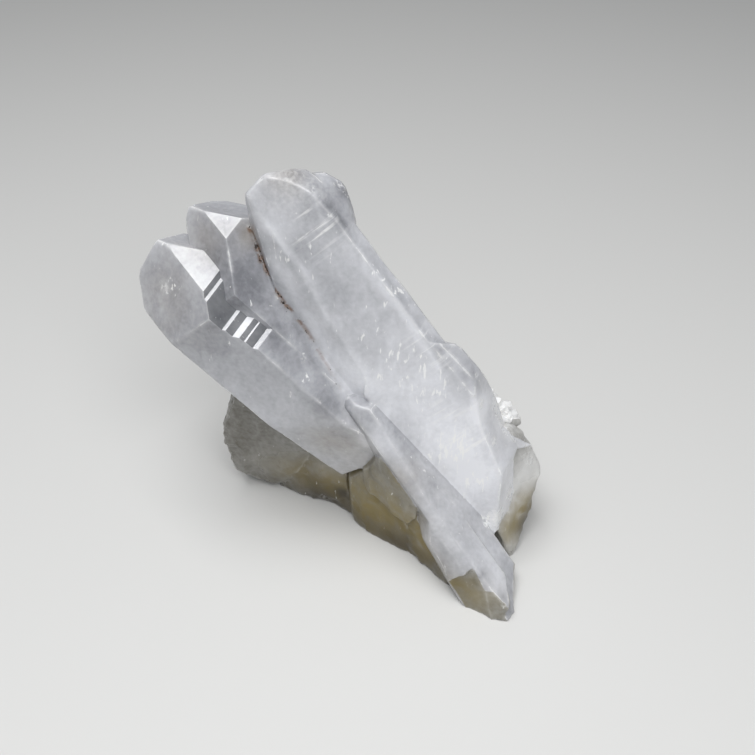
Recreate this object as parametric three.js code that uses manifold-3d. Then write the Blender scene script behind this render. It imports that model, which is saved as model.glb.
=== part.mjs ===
// Cluster of milky quartz crystals grown together, standing on its broken root.
// Units are millimetres, +Z is up, and the origin is under the middle of the cluster, on
// the level that it stands on.
// A crystal is the space inside its flat faces. Each face is given by its turn about
// the crystal's axis, its lean towards the tip, and its reach from the crystal's place.

import * as THREE from "three";
import { ConvexGeometry } from "three/addons/geometries/ConvexGeometry.js";
import { mergeVertices } from "three/addons/utils/BufferGeometryUtils.js";
import Module from "manifold-3d";

const wasm = await Module();
wasm.setup();

// Quartz habit, the same in every crystal: six prism faces and six tip faces
const FACE_COUNT = 6;
const FACE_STEP = 60;
const TIP_LEAN = 38.2;

// Growth directions of the crystals, in degrees: heading from +Y towards +X, rise from
// level, turn of the first prism face about the axis from straight up
const MAIN_DIRECTION = { heading: -76, rise: 49, turn: -78.5 };
const TWIN_DIRECTION = { heading: -83, rise: 47, turn: -38 };
const FRONT_DIRECTION = { heading: -57, rise: 47, turn: -60 };

// Points on the front faces that each crystal's reaches are measured from
const MAIN_PLACE = [0, 0, 45];
const TWIN_PLACE = [-16.6, 6.2, 57.1];
const FRONT_PLACE = [-5.5, -1.3, 39.2];

// Large crystal with the widest front face. Its tip is bruised, a long bevel runs beside
// the middle crystal, and its right side narrows towards the foot.
const MAIN_CRYSTAL = {
  direction: MAIN_DIRECTION,
  place: MAIN_PLACE,
  prism: [0, 12.2, 15, 15, 15, 9],
  tip: [25.2, 32, 34.4, 26.2, 27, 24],
  foot: 42,
  facets: [
    { turn: -22, lean: 4, reach: 0.8 },
    { turn: -60, lean: 22, reach: 11 },
    { turn: -30, lean: 70, reach: 37 },
    { turn: 60, lean: -4, reach: 10.3 },
    { turn: 60, lean: 21, reach: 23.7 },
    { turn: 60, lean: -15, reach: 12.2 },
    { turn: 60, lean: -36, reach: 21.8 },
    { turn: 120, lean: -4, reach: 13.1 },
  ],
};

// Side crystal low on the right of the large crystal, whose front slopes away from the
// large crystal's edge
const MAIN_SIDE_CRYSTAL = {
  direction: MAIN_DIRECTION,
  place: MAIN_PLACE,
  prism: [0, 11, 14.4, 12, 10, 4],
  tip: [6, 10, 8.4, 4, 4, 2],
  foot: 34,
  facets: [
    { turn: 32, lean: -1, reach: 6.35 },
    { turn: 60, lean: 12, reach: 11.6 },
    { turn: 62, lean: -24, reach: 14.95 },
    { turn: 90, lean: -24, reach: 19 },
    { turn: 150, lean: 5, reach: 10 },
  ],
};

// Shoulder on the right of the large crystal, below its tip. Its corners are along the
// crystal's axis, across it and out of its front face.
const MAIN_SHOULDER = [
  [37, 13.5, -3],
  [34.5, 15, -2],
  [26, 15, -1.5],
  [23, 14.6, -1.5],
  [34.3, 16.4, -5],
  [30.8, 17.7, -5],
  [29, 17.1, -5],
  [26.8, 16.3, -5],
  [24, 14.8, -5],
  [33, 13, -13],
  [25, 12, -13],
  [34, 4, -10],
  [22, 4, -10],
];

// Left crystal without its striped face
const LEFT_CRYSTAL = {
  direction: TWIN_DIRECTION,
  place: TWIN_PLACE,
  prismSides: [-1, 9, 17.4, 20.2, 8.2],
  tipSides: [7, 19, 25.8, 25.5, 11.7],
  foot: 37.2,
  facets: [
    { turn: 154, lean: 56, reach: 23.4 },
    { turn: -67, lean: -12, reach: 13.6 },
  ],
};

// Growth layers on the striped face of the left crystal: how far the prism face
// stands back, and the reach of the narrow bright ledge that ends each layer
const LEFT_LAYERS = [
  { prism: -2.5, ledge: 5.6 },
  { prism: -2.1, ledge: 5.0 },
  { prism: -1.7, ledge: 1.8 },
  { prism: -0.95, ledge: 0.8 },
  { prism: -0.75, ledge: 0.15 },
  { prism: -0.2, ledge: -0.9 },
];

// Crystal between the left and the large one
const MIDDLE_CRYSTAL = {
  direction: TWIN_DIRECTION,
  place: TWIN_PLACE,
  prism: [0, 8, 14, 12, 10, 4.3],
  tip: [9.5, 13.8, 21.6, 19.8, 15.1, 8.4],
  foot: 40,
};

// Broken faces at the lower end of the front crystal
const FRONT_BREAKS = [
  { turn: -2.4, lean: -6.9, reach: 5.4 },
  { turn: -60, lean: -35, reach: 30.9 },
];

// Piece broken out of the left of the front crystal's foot. Its corners are along the
// crystal's axis, across it and out of its front face.
const FRONT_CHIP = [
  [-39.8, 1.2, 0],
  [-40.8, -6, -3.1],
  [-55, -1, 0],
  [-56, -8, -3.1],
  [-39.8, 1.2, 3],
  [-40.8, -6, 3],
  [-55, -1, 3],
  [-56, -8, 3],
];

// Crystal in front, whose lower end stands on the ground
const FRONT_CRYSTAL = {
  direction: FRONT_DIRECTION,
  place: FRONT_PLACE,
  prism: [0, 6, 9.4, 12, 9, 0.3],
  tip: [-0.5, 0.5, 6, 6, 4, 1],
  foot: 53.2,
  facets: [
    ...FRONT_BREAKS,
    { turn: 60, lean: -3.5, reach: 3 },
    { turn: 120, lean: -43, reach: 38.5 },
  ],
};

// Bulge on the left of the front crystal's foot
const FRONT_BULGE = {
  direction: FRONT_DIRECTION,
  place: FRONT_PLACE,
  prism: [1, 1.5, 6, 9, 8, 4.2],
  tip: [-17, -14, -10, -10, -10, -12],
  foot: 53,
  facets: [
    ...FRONT_BREAKS,
    { turn: -60, lean: 27, reach: -12.2 },
    { turn: -60, lean: 5.7, reach: -0.8 },
    { turn: 3, lean: 0, reach: 0.05 },
    { turn: -25, lean: 0, reach: 0.33 },
    { turn: 120, lean: -43, reach: 36 },
  ],
};

// Corners of the grey broken piece below the left crystal
const LEFT_ROOT = [
  [-28, 10, 31.5],
  [-30, 14, 27],
  [-32.5, 14, 19],
  [-32.5, 14.5, 16],
  [-31, 15.5, 9],
  [-31, 16, 6],
  [-27, 16, 3],
  [-23, 15.6, 1.5],
  [-19.5, 14.6, 3.5],
  [-16, 13.5, 9],
  [-18, 9, 27],
  [-12.6, 8.5, 20],
  [-14.5, 10.8, 13.5],
  [-27, 24, 31],
  [-31, 26, 18],
  [-29, 26, 4],
  [-26, 26, -1],
  [-8, 20, 28],
  [-12, 20, 4],
];

// Corners of the low yellowish stretch between the grey piece and the middle of the root
const LOW_ROOT = [
  [-23, 17.4, 2],
  [-21, 16.2, -1],
  [-17.4, 13.9, -1],
  [-12.7, 12.4, -1],
  [-7.4, 10.9, -1],
  [-16.8, 14, 8],
  [-12.8, 10.2, 17.6],
  [-6.4, 7.6, 13.8],
  [-6.1, 8.2, 5],
  [-14, 22, 18],
  [-6, 16, 20],
  [-20, 24, -1],
  [-6, 20, -1],
];

// Corners of the yellowish middle of the root, of the lobe that overhangs it, and of the
// amber piece beside the front crystal
const MIDDLE_ROOT = [
  [-5.6, 4.6, 14.5],
  [-5.8, 5.6, 8],
  [-5, 6.2, -1],
  [-1.6, 2.8, -1],
  [2, 0.5, -1],
  [7, -3.2, -1],
  [1.6, 1.2, 11],
  [6.3, -2.7, 7.4],
  [10, -3.5, 4],
  [0.4, 0.6, 22],
  [-4, 16, 24],
  [10, 8, 24],
  [-6, 18, -1],
  [14, 8, -1],
];
const MIDDLE_LOBE = [
  [1.1, -5.1, 30],
  [4.2, -7.1, 26],
  [7.4, -9.1, 21.9],
  [0.7, -1.2, 25.6],
  [-3, 1.6, 19.5],
  [-2.3, 0.5, 15.3],
  [1.1, -2.5, 14.7],
  [4.8, -5.6, 14.9],
  [7.6, -7.4, 14.8],
  [5.8, -5.2, 11.4],
  [10, 8, 24],
  [0, 10, 26],
  [4, 8, 12],
];
const AMBER_ROOT = [
  [6, -2.5, 7.3],
  [6.8, -4.3, 14],
  [9.2, -6.5, 15.9],
  [10.9, -8.5, 10.6],
  [12.3, -10.3, 5.8],
  [13.8, -11, 3],
  [6.4, -2.9, 3.8],
  [6.7, -3, -1],
  [12.2, -9.2, -1],
  [14.7, -11.3, -1],
  [18, 6, 12],
  [18, -2, -1],
  [16, 8, -1],
  [10, 8, 20],
];

// Corners of the smooth grey piece on the right, and of the tan broken piece below it
const RIGHT_ROOT_UPPER = [
  [22.5, -0.2, 32.3],
  [23.1, -2.5, 28.2],
  [28.1, 5, 27],
  [29.5, 5.2, 25],
  [31, 5.3, 23],
  [31.8, 5.6, 20],
  [33.3, 5.8, 17],
  [32.5, 5.3, 10],
  [32, 4, 9.5],
  [25.5, -1.2, 15],
  [24.2, -1.5, 23],
  [20, 12, 30],
  [29, 13, 18.5],
  [30, 14, 6],
  [18, 14, 4],
];
const RIGHT_ROOT_LOWER = [
  [25.5, -1.2, 15],
  [32, 4, 9.5],
  [31, 2.5, 7],
  [29.2, 0, 2],
  [27.5, -4, -1],
  [24, -3.6, 8],
  [28, 12, -1],
  [18, 10, -1],
  [30, 10, 8],
  [18, 8, 14],
];

// Corners of the broken root that the crystals grew from, behind and below them
const ROOT_CORE = [
  [-22, 20, -1],
  [-6, 9, -1],
  [12, -5, -1],
  [24, 0, -1],
  [22, 18, -1],
  [8, 26, -1],
  [-14, 27, -1],
  [-29, 24, 3],
  [29, 12, 5],
  [18, 27, 4],
  [-8, 32, 4],
  [-26, 29, 5],
  [-26, 26, 16],
  [-8, 12, 30],
  [10, 6, 34],
  [24, 8, 28],
  [22, 22, 18],
  [-6, 27, 28],
];

// Broken lumps on the sides of the root that face away
const ROOT_LUMPS = [
  { place: [-20, 25, 13], size: [10, 8, 12], faces: 17, shift: 0.4 },
  { place: [-3, 29, 13], size: [12, 8, 12.5], faces: 19, shift: 1.3 },
  { place: [15, 23, 13], size: [11, 8, 12], faces: 18, shift: 2.1 },
  { place: [25, 11, 10], size: [7, 9, 9.5], faces: 16, shift: 3.2 },
];
const LUMP_LEAST_REACH = 0.9;
const LUMP_UNEVENNESS = 0.16;
const GOLDEN_ANGLE = Math.PI * (3 - Math.sqrt(5));

// Patch of small sugary crystals beside the side crystal: its upper end, its run down, and
// how far it spreads there
const SUGAR_COUNT = 40;
const SUGAR_ROWS = 5;
const SUGAR_START = [20.4, 6.4, 35.6];
const SUGAR_RUN = [4.6, 0.4, -7.8];
const SUGAR_SPREAD = [-3.6, -0.6, 0.4];
const SUGAR_LEAST_SIZE = 0.75;
const SUGAR_SIZE_STEP = 0.15;
const SUGAR_TIP = 1.4;
const SUGAR_FOOT = 5;

// Crystals on the back: how each one grows, its place, half width and tip reach
const BACK_CRYSTALS = [
  { direction: { heading: -70, rise: 52, turn: 20 }, place: [-5, 19, 36], width: 7.5, tip: 14 },
  { direction: { heading: -88, rise: 40, turn: 10 }, place: [-16, 23, 30], width: 5.5, tip: 8 },
  { direction: { heading: -25, rise: 34, turn: 35 }, place: [-2, 27, 22], width: 6, tip: 8 },
  { direction: { heading: 25, rise: 24, turn: 5 }, place: [11, 26, 13], width: 5, tip: 5 },
];
const BACK_PRISM_SHARES = [1, 1.15, 0.9, 1.1, 0.95, 1.2];
const BACK_TIP_STEP = 1.8;
const BACK_TIP_SPREAD = 2;
const BACK_FOOT = 22;

// Colour and gloss of the quartz
const QUARTZ_COLOUR = 0xb4b5ba;
const QUARTZ_ROUGHNESS = 0.3;

// Room below the ground level that is cut away, and the closeness of equal points
const GROUND_SPAN = 200;
const GROUND_DEPTH = 20;
const PARALLEL = 1e-6;
const INSIDE = 1e-4;
const SAME_CORNER = 1e-3;

const radians = THREE.MathUtils.degToRad;

// Unit vectors of a crystal: along its axis, out of its first prism face, and across
function crystalAxes({ heading, rise, turn }) {
  const axis = new THREE.Vector3(
    Math.sin(radians(heading)) * Math.cos(radians(rise)),
    Math.cos(radians(heading)) * Math.cos(radians(rise)),
    Math.sin(radians(rise)),
  );
  const up = new THREE.Vector3(0, 0, 1);
  const out = up.addScaledVector(axis, -axis.z).normalize();
  out.applyAxisAngle(axis, radians(turn));
  const across = new THREE.Vector3().crossVectors(axis, out);
  return { axis, out, across };
}

// Plane of one face, facing out
function facePlane(axes, place, { turn, lean, reach }) {
  const normal = axes.out.clone().applyAxisAngle(axes.axis, radians(turn));
  normal.multiplyScalar(Math.cos(radians(lean)));
  normal.addScaledVector(axes.axis, Math.sin(radians(lean)));
  return new THREE.Plane(normal, -reach - normal.dot(place));
}

// Corner where three planes meet, or null where they don't
function cornerOf(a, b, c) {
  const cross = new THREE.Vector3().crossVectors(b.normal, c.normal);
  const volume = a.normal.dot(cross);
  if (Math.abs(volume) < PARALLEL) {
    return null;
  }
  const corner = cross.multiplyScalar(-a.constant);
  corner.addScaledVector(new THREE.Vector3().crossVectors(c.normal, a.normal), -b.constant);
  corner.addScaledVector(new THREE.Vector3().crossVectors(a.normal, b.normal), -c.constant);
  return corner.divideScalar(volume);
}

// Corners of the space inside all the planes
function cornersInside(planes) {
  const corners = [];
  for (let i = 0; i < planes.length; i += 1) {
    for (let j = i + 1; j < planes.length; j += 1) {
      for (let k = j + 1; k < planes.length; k += 1) {
        const corner = cornerOf(planes[i], planes[j], planes[k]);
        const inside = corner && planes.every((plane) => plane.distanceToPoint(corner) < INSIDE);
        if (inside && corners.every((other) => other.distanceTo(corner) > SAME_CORNER)) {
          corners.push(corner);
        }
      }
    }
  }
  return corners;
}

// Closed solid of a geometry
function solidOf(geometry) {
  geometry.deleteAttribute("normal");
  geometry.deleteAttribute("uv");
  const merged = mergeVertices(geometry, INSIDE);
  return new wasm.Manifold(
    new wasm.Mesh({
      numProp: 3,
      vertProperties: new Float32Array(merged.attributes.position.array),
      triVerts: new Uint32Array(merged.index.array),
    }),
  );
}

// Crystal inside its prism faces, tip faces, a foot and any further facets.
// prism and tip list the reaches in turn order from the first face.
function crystal({ direction, place, prism, tip, foot, facets = [] }) {
  const axes = crystalAxes(direction);
  const origin = new THREE.Vector3(...place);
  const faces = [{ turn: 0, lean: -90, reach: foot }, ...facets];
  prism.forEach((reach, k) => faces.push({ turn: k * FACE_STEP, lean: 0, reach }));
  tip.forEach((reach, k) => faces.push({ turn: k * FACE_STEP, lean: TIP_LEAN, reach }));
  const planes = faces.map((face) => facePlane(axes, origin, face));
  return solidOf(new ConvexGeometry(cornersInside(planes)));
}

// Block of broken quartz inside its corner points
function block(points) {
  return solidOf(new ConvexGeometry(points.map((point) => new THREE.Vector3(...point))));
}

// Point given along a crystal's axis, across it and out of its front face
function pointOn({ direction, place }, [along, side, depth]) {
  const { axis, across, out } = crystalAxes(direction);
  const point = new THREE.Vector3(...place);
  point.addScaledVector(axis, along);
  point.addScaledVector(across, side);
  point.addScaledVector(out, depth);
  return point.toArray();
}

// Large crystal with its side crystal and its shoulder
function mainCrystals() {
  return wasm.Manifold.union([
    crystal(MAIN_CRYSTAL),
    crystal(MAIN_SIDE_CRYSTAL),
    block(MAIN_SHOULDER.map((corner) => pointOn(MAIN_CRYSTAL, corner))),
  ]);
}

// Left crystal, its striped face stepped where growth layers end
function leftCrystal() {
  const { prismSides, tipSides, ...shared } = LEFT_CRYSTAL;
  return wasm.Manifold.union(LEFT_LAYERS.map(({ prism, ledge }) => crystal({
    ...shared,
    prism: [prism, ...prismSides],
    tip: [ledge, ...tipSides],
  })));
}

// Crystal between the left and the large one
function middleCrystal() {
  return crystal(MIDDLE_CRYSTAL);
}

// Front crystal with the bulge beside its foot, and the piece broken out there
function frontCrystals() {
  const grown = wasm.Manifold.union([crystal(FRONT_CRYSTAL), crystal(FRONT_BULGE)]);
  return grown.subtract(block(FRONT_CHIP.map((corner) => pointOn(FRONT_CRYSTAL, corner))));
}

// Crystals on the back, each a little uneven
function backCrystals() {
  return wasm.Manifold.union(BACK_CRYSTALS.map(({ direction, place, width, tip }) => crystal({
    direction,
    place,
    prism: BACK_PRISM_SHARES.map((share) => share * width),
    tip: BACK_PRISM_SHARES.map((share, k) => tip + (k % 2) * BACK_TIP_STEP + BACK_TIP_SPREAD * share),
    foot: BACK_FOOT,
  })));
}

// Patch of small sugary crystals, closer together towards its wide lower end
function sugaryCrystals() {
  const small = [];
  for (let k = 0; k < SUGAR_COUNT; k += 1) {
    const along = Math.sqrt((k + 0.5) / SUGAR_COUNT);
    const spread = (along * ((k * 3) % SUGAR_ROWS)) / (SUGAR_ROWS - 1);
    const size = SUGAR_LEAST_SIZE + SUGAR_SIZE_STEP * ((k * 3) % 4);
    small.push(crystal({
      direction: { heading: 95 + 35 * ((k * 2) % 5), rise: 60 - 18 * ((k * 2) % 3), turn: 37 * k },
      place: SUGAR_START.map((from, axis) => (
        from + along * SUGAR_RUN[axis] + spread * SUGAR_SPREAD[axis]
      )),
      prism: Array(FACE_COUNT).fill(size),
      tip: Array.from({ length: FACE_COUNT }, (_, face) => SUGAR_TIP + 0.2 * ((face * 2) % 3)),
      foot: SUGAR_FOOT,
    }));
  }
  return wasm.Manifold.union(small);
}

// Lump of broken quartz with uneven flat faces turned evenly to all sides
function lump({ place, size, faces, shift }) {
  const centre = new THREE.Vector3(...place);
  const planes = [];
  for (let k = 0; k < faces; k += 1) {
    const level = 1 - (2 * k + 1) / faces;
    const around = k * GOLDEN_ANGLE + shift;
    const spread = Math.sqrt(1 - level * level);
    const normal = new THREE.Vector3(spread * Math.cos(around), spread * Math.sin(around), level);
    const uneven = LUMP_LEAST_REACH + LUMP_UNEVENNESS * Math.sin(5 * k + 3 * shift);
    const reach = uneven * new THREE.Vector3(...size).multiply(normal).length();
    planes.push(new THREE.Plane(normal, -reach - normal.dot(centre)));
  }
  return solidOf(new ConvexGeometry(cornersInside(planes)));
}

// Broken root that the crystals grew from
function root() {
  return wasm.Manifold.union([
    block(LEFT_ROOT),
    block(LOW_ROOT),
    block(MIDDLE_ROOT),
    block(MIDDLE_LOBE),
    block(AMBER_ROOT),
    block(RIGHT_ROOT_UPPER),
    block(RIGHT_ROOT_LOWER),
    block(ROOT_CORE),
    ...ROOT_LUMPS.map(lump),
  ]);
}

// Room below the ground level, which is cut away so that the root stands flat
function belowGround() {
  const geometry = new THREE.BoxGeometry(GROUND_SPAN, GROUND_SPAN, GROUND_DEPTH);
  geometry.translate(0, 0, -GROUND_DEPTH / 2);
  return solidOf(geometry);
}

// All crystals and the root grown together
function cluster() {
  const grown = wasm.Manifold.union([
    mainCrystals(),
    leftCrystal(),
    middleCrystal(),
    frontCrystals(),
    backCrystals(),
    sugaryCrystals(),
    root(),
  ]);
  return grown.subtract(belowGround());
}

// Geometry of a solid, with the origin under its middle
function centredGeometry(solid) {
  const { vertProperties, triVerts } = solid.getMesh();
  const geometry = new THREE.BufferGeometry();
  geometry.setAttribute("position", new THREE.BufferAttribute(new Float32Array(vertProperties), 3));
  geometry.setIndex(new THREE.BufferAttribute(new Uint32Array(triVerts), 1));
  geometry.computeBoundingBox();
  const middle = geometry.boundingBox.getCenter(new THREE.Vector3());
  geometry.translate(-middle.x, -middle.y, -geometry.boundingBox.min.z);
  return geometry;
}

const quartz = new THREE.MeshStandardMaterial({
  color: QUARTZ_COLOUR,
  roughness: QUARTZ_ROUGHNESS,
  metalness: 0,
  flatShading: true,
});

const quartzCluster = new THREE.Mesh(centredGeometry(cluster()), quartz);
quartzCluster.name = "quartz_cluster";

const group = new THREE.Group();
group.add(quartzCluster);

export default group;
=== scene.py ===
"""Milky quartz cluster: its worn crystal surface, its finishes and the studio around it.

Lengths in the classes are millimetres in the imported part's own frame, and meshes are in metres.
"""

import logging
import math
from dataclasses import dataclass, field
from enum import Enum
from functools import reduce

import bmesh
import bpy
import numpy as np
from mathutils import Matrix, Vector
from mathutils.geometry import delaunay_2d_cdt
from mathutils.kdtree import KDTree


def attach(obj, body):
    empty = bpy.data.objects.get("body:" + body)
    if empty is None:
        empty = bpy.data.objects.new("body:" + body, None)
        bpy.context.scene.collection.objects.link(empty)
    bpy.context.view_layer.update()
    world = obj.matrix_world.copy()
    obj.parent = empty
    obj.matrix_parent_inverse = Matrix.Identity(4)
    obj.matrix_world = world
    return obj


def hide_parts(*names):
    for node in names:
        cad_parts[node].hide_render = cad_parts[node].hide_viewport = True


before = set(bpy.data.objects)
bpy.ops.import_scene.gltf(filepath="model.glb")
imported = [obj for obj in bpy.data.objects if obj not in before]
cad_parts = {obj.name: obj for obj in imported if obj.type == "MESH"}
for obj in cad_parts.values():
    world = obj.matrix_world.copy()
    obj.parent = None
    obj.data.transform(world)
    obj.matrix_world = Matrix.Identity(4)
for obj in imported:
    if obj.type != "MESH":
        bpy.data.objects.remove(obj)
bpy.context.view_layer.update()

Array = np.ndarray
Socket = bpy.types.NodeSocket
Thing = bpy.types.Object
Triple = tuple[float, float, float]
Row = tuple[float, ...]

LOG = logging.getLogger("quartz")

MM = 0.001
TINY = 1e-9
NODE_NAME = "quartz_cluster"
BODY_NAME = "root"


class Facing(Enum):
    """Kinds of face that the cluster shows."""

    PRISM = 0
    TIP = 1
    BEVEL = 2
    BROKEN = 3
    SUGARY = 4
    UNDERSIDE = 5
    WINDOW = 6


@dataclass(frozen=True)
class Habit:
    """Growth frame of a family of crystals, in degrees.

    The heading runs from +Y towards +X, the rise is above level, and the turn is that of the
    first prism face about the axis. Bevels are further faces, as (turn, lean). Reaches are how
    far the prism and tip faces stand out from the place. Windows are those of the clear parts of
    the first prism face. The tone is how milky the family is against the others; the front
    family's lower tone is partly painted shade, darkening it against the main crystal.
    """

    heading: float
    rise: float
    turn: float
    place: Triple
    prism: Row = ()
    tip: Row = ()
    bevels: tuple[tuple[float, float], ...] = ()
    windows: Row = ()
    tone: float = 0.04

    FACE_STEP = 60.0
    TIP_LEAN = 38.2
    CLOSE = 2.5
    SAME_REACH = 0.12

    def axes(self) -> tuple[Array, Array, Array]:
        """Work out the unit vectors of the family.

        Returns:
            The growth axis, the direction out of the first prism face, and the one across.
        """
        heading, rise, turn = (math.radians(a) for a in (self.heading, self.rise, self.turn))
        level = math.cos(rise)
        axis = np.array([math.sin(heading) * level, math.cos(heading) * level, math.sin(rise)])
        upright = np.array([0.0, 0.0, 1.0]) - axis[2] * axis
        upright /= np.linalg.norm(upright)
        out = math.cos(turn) * upright + math.sin(turn) * np.cross(axis, upright)
        return axis, out, np.cross(axis, out)

    def facing_of(self, normal: Array, middle: Array) -> Facing | None:
        """Tell which face of this family a facet is.

        Args:
            normal: Unit vector out of the facet.
            middle: A point on the facet.

        Returns:
            The kind of face, or None where the family has no such face.
        """
        axis, out, across = self.axes()
        lean = math.degrees(math.asin(float(np.clip(normal @ axis, -1.0, 1.0))))
        turn = math.degrees(math.atan2(float(normal @ across), float(normal @ out)))
        reach = float((middle - np.array(self.place)) @ normal)
        half = self.FACE_STEP / 2
        on_step = abs((turn + half) % self.FACE_STEP - half) < self.CLOSE
        if on_step and abs(lean) < self.CLOSE and self._among(reach, self.prism):
            clear = self.windows and abs(turn) < self.CLOSE and self._among(reach, self.windows)
            return Facing.WINDOW if clear else Facing.PRISM
        if on_step and abs(lean - self.TIP_LEAN) < self.CLOSE and self._among(reach, self.tip):
            return Facing.TIP
        for bevel_turn, bevel_lean in self.bevels:
            off_turn = abs((turn - bevel_turn + 180.0) % 360.0 - 180.0)
            if off_turn < self.CLOSE and abs(lean - bevel_lean) < self.CLOSE:
                return Facing.BEVEL
        return None

    def _among(self, reach: float, reaches: Row) -> bool:
        """Tell whether a reach is one of a list, where an empty list takes any."""
        return not reaches or min(abs(reach - one) for one in reaches) < self.SAME_REACH


MAIN_HABIT = Habit(
    -76.0, 49.0, -78.5, (5.17, -9.434, 45.0),
    (0, 12.2, 15, 9, 11, 14.4, 12, 10, 4),
    (25.2, 32, 34.4, 26.2, 27, 24, 6, 10, 8.4, 4, 2),
    (
        (-22, 4), (-60, 22), (-30, 70), (60, -4), (60, 21), (60, -15), (60, -36), (120, -4),
        (32, -1), (60, 12), (62, -24), (90, -24), (150, 5),
    ),
)
TWIN_HABIT = Habit(
    -83.0, 47.0, -38.0, (-11.43, -3.234, 57.1),
    (-2.5, -2.1, -1.7, -0.95, -0.75, -0.2, -1, 9, 17.4, 20.2, 8.2, 0, 8, 14, 12, 10, 4.3),
    (
        5.6, 5.0, 1.8, 0.8, 0.15, -0.9, 7, 19, 25.8, 25.5, 11.7,
        9.5, 13.8, 21.6, 19.8, 15.1, 8.4,
    ),
    ((154, 56), (-67, -12)),
    (-2.5, -2.1, -1.7, -0.95, -0.75),
    0.02,
)
# The front family's low tone is partly painted shade, darkening it against the main crystal.
FRONT_HABIT = Habit(
    -57.0, 47.0, -60.0, (-0.33, -10.734, 39.2),
    (0, 6, 9.4, 12, 9, 0.3, 1, 1.5, 8, 4.2),
    (-0.5, 0.5, 6, 4, 1, -17, -14, -10, -12),
    ((60, -3.5), (3, 0), (-25, 0), (-60, 27), (-60, 5.7)),
    tone=-0.27,
)
BACK_HABITS = (
    Habit(-70.0, 52.0, 20.0, (0.17, 9.57, 36.0)),
    Habit(-88.0, 40.0, 10.0, (-10.83, 13.57, 30.0)),
    Habit(-25.0, 34.0, 35.0, (3.17, 17.57, 22.0)),
    Habit(25.0, 24.0, 5.0, (16.17, 16.57, 13.0)),
)
HABITS = (MAIN_HABIT, TWIN_HABIT, FRONT_HABIT, *BACK_HABITS)


@dataclass(frozen=True)
class Zone:
    """Soft rounded place on the cluster, in millimetres."""

    place: Triple
    radius: float
    strength: float = 1.0

    def share(self, points: Array) -> Array:
        """Work out each point's value, from 0 outside to the strength at the middle."""
        away = ((points - np.array(self.place)) ** 2).sum(1) / self.radius**2
        return self.strength * np.exp(-away)


@dataclass(frozen=True)
class Seam:
    """Soft line on the cluster in millimetres, as its width and rows of x, y, z and amount."""

    width: float
    rows: tuple[Row, ...]

    def share(self, points: Array) -> Array:
        """Work out each point's value.

        Args:
            points: Places, one row each.

        Returns:
            A value for each point, from 0 away from the line to the amount on it.
        """
        result = np.zeros(len(points))
        line = np.array(self.rows)
        for start, end in zip(line[:-1], line[1:]):
            away = points - start[:3]
            run = end[:3] - start[:3]
            along = limited(away @ run / (run @ run))
            gap = np.linalg.norm(away - along[:, None] * run, axis=1)
            amount = start[3] + along * (end[3] - start[3])
            held = amount * np.exp(-((gap / self.width) ** 2))
            result = np.where(np.abs(held) > np.abs(result), held, result)
        return result


Zones = tuple[Zone, ...]


def zones(*rows: Row) -> Zones:
    """Make zones from rows of x, y, z, radius and strength, which is 1 where it is left out."""
    return tuple(Zone(row[:3], *row[3:]) for row in rows)


def sum_of(parts: tuple[Zone | Seam, ...], points: Array) -> Array:
    """Add zones and seams at each point, where an amount below nothing takes away."""
    return sum((part.share(points) for part in parts), np.zeros(len(points)))


def most_of(parts: Zones, points: Array) -> Array:
    """Join zones, keeping the strongest at each point."""
    return np.max([np.zeros(len(points)), *(part.share(points) for part in parts)], axis=0)


def limited(values: Array) -> Array:
    """Keep values from 0 to 1."""
    return np.clip(values, 0.0, 1.0)


@dataclass(frozen=True)
class Grain:
    """Seeded lattice noise, the same on every run."""

    seed: int

    PRIMES = (374761393, 668265263, 2147483647)
    MIX = 1274126177
    LAST_MIX = 2246822519
    WORD = 0xFFFFFFFF
    LAYER_SHIFT = 17.3
    RIDGE_SHIFT = 11.9

    def _lattice(self, cell: Array) -> Array:
        """Give each lattice cell its value.

        Args:
            cell: Whole-number places, one row each.

        Returns:
            A value from -1 to 1 for each cell.
        """
        mixed = sum(cell[:, k] * self.PRIMES[k] for k in range(3)) + self.seed * self.MIX
        mixed &= self.WORD
        mixed = ((mixed ^ (mixed >> 13)) * self.MIX) & self.WORD
        mixed = ((mixed ^ (mixed >> 15)) * self.LAST_MIX) & self.WORD
        return (mixed ^ (mixed >> 16)) / self.WORD * 2.0 - 1.0

    def value(self, points: Array, size: float) -> Array:
        """Smooth noise.

        Args:
            points: Places, one row each.
            size: Length of a cell.

        Returns:
            A value from -1 to 1 for each point.
        """
        cell = np.floor(points / size).astype(np.int64)
        part = points / size - cell
        part = part * part * part * (part * (part * 6.0 - 15.0) + 10.0)
        total = np.zeros(len(points))
        for corner in range(8):
            step = np.array([corner & 1, (corner >> 1) & 1, (corner >> 2) & 1])
            weight = np.prod(np.where(step == 1, part, 1.0 - part), axis=1)
            total += weight * self._lattice(cell + step)
        return total

    def layered(self, points: Array, size: float, layers: int, ridged: bool = False) -> Array:
        """Noise with finer layers on it.

        Args:
            points: Places, one row each.
            size: Length of a cell of the coarsest layer.
            layers: Number of layers, each half the size and half the height of the last.
            ridged: Whether each layer is folded into ridges.

        Returns:
            A value for each point, mostly from -1 to 1.
        """
        shift = self.RIDGE_SHIFT if ridged else self.LAYER_SHIFT
        total = np.zeros(len(points))
        for layer in range(layers):
            value = self.value(points + shift * layer, size / 2**layer)
            total += (1.0 - np.abs(value) * 2.0 if ridged else value) / 2**layer
        return total


@dataclass
class Facet:
    """Flat facet of the solid, with its outline as indices of shared points."""

    outline: list[int]
    sharp: list[bool]
    normal: Array
    facing: Facing
    habit: int


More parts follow.
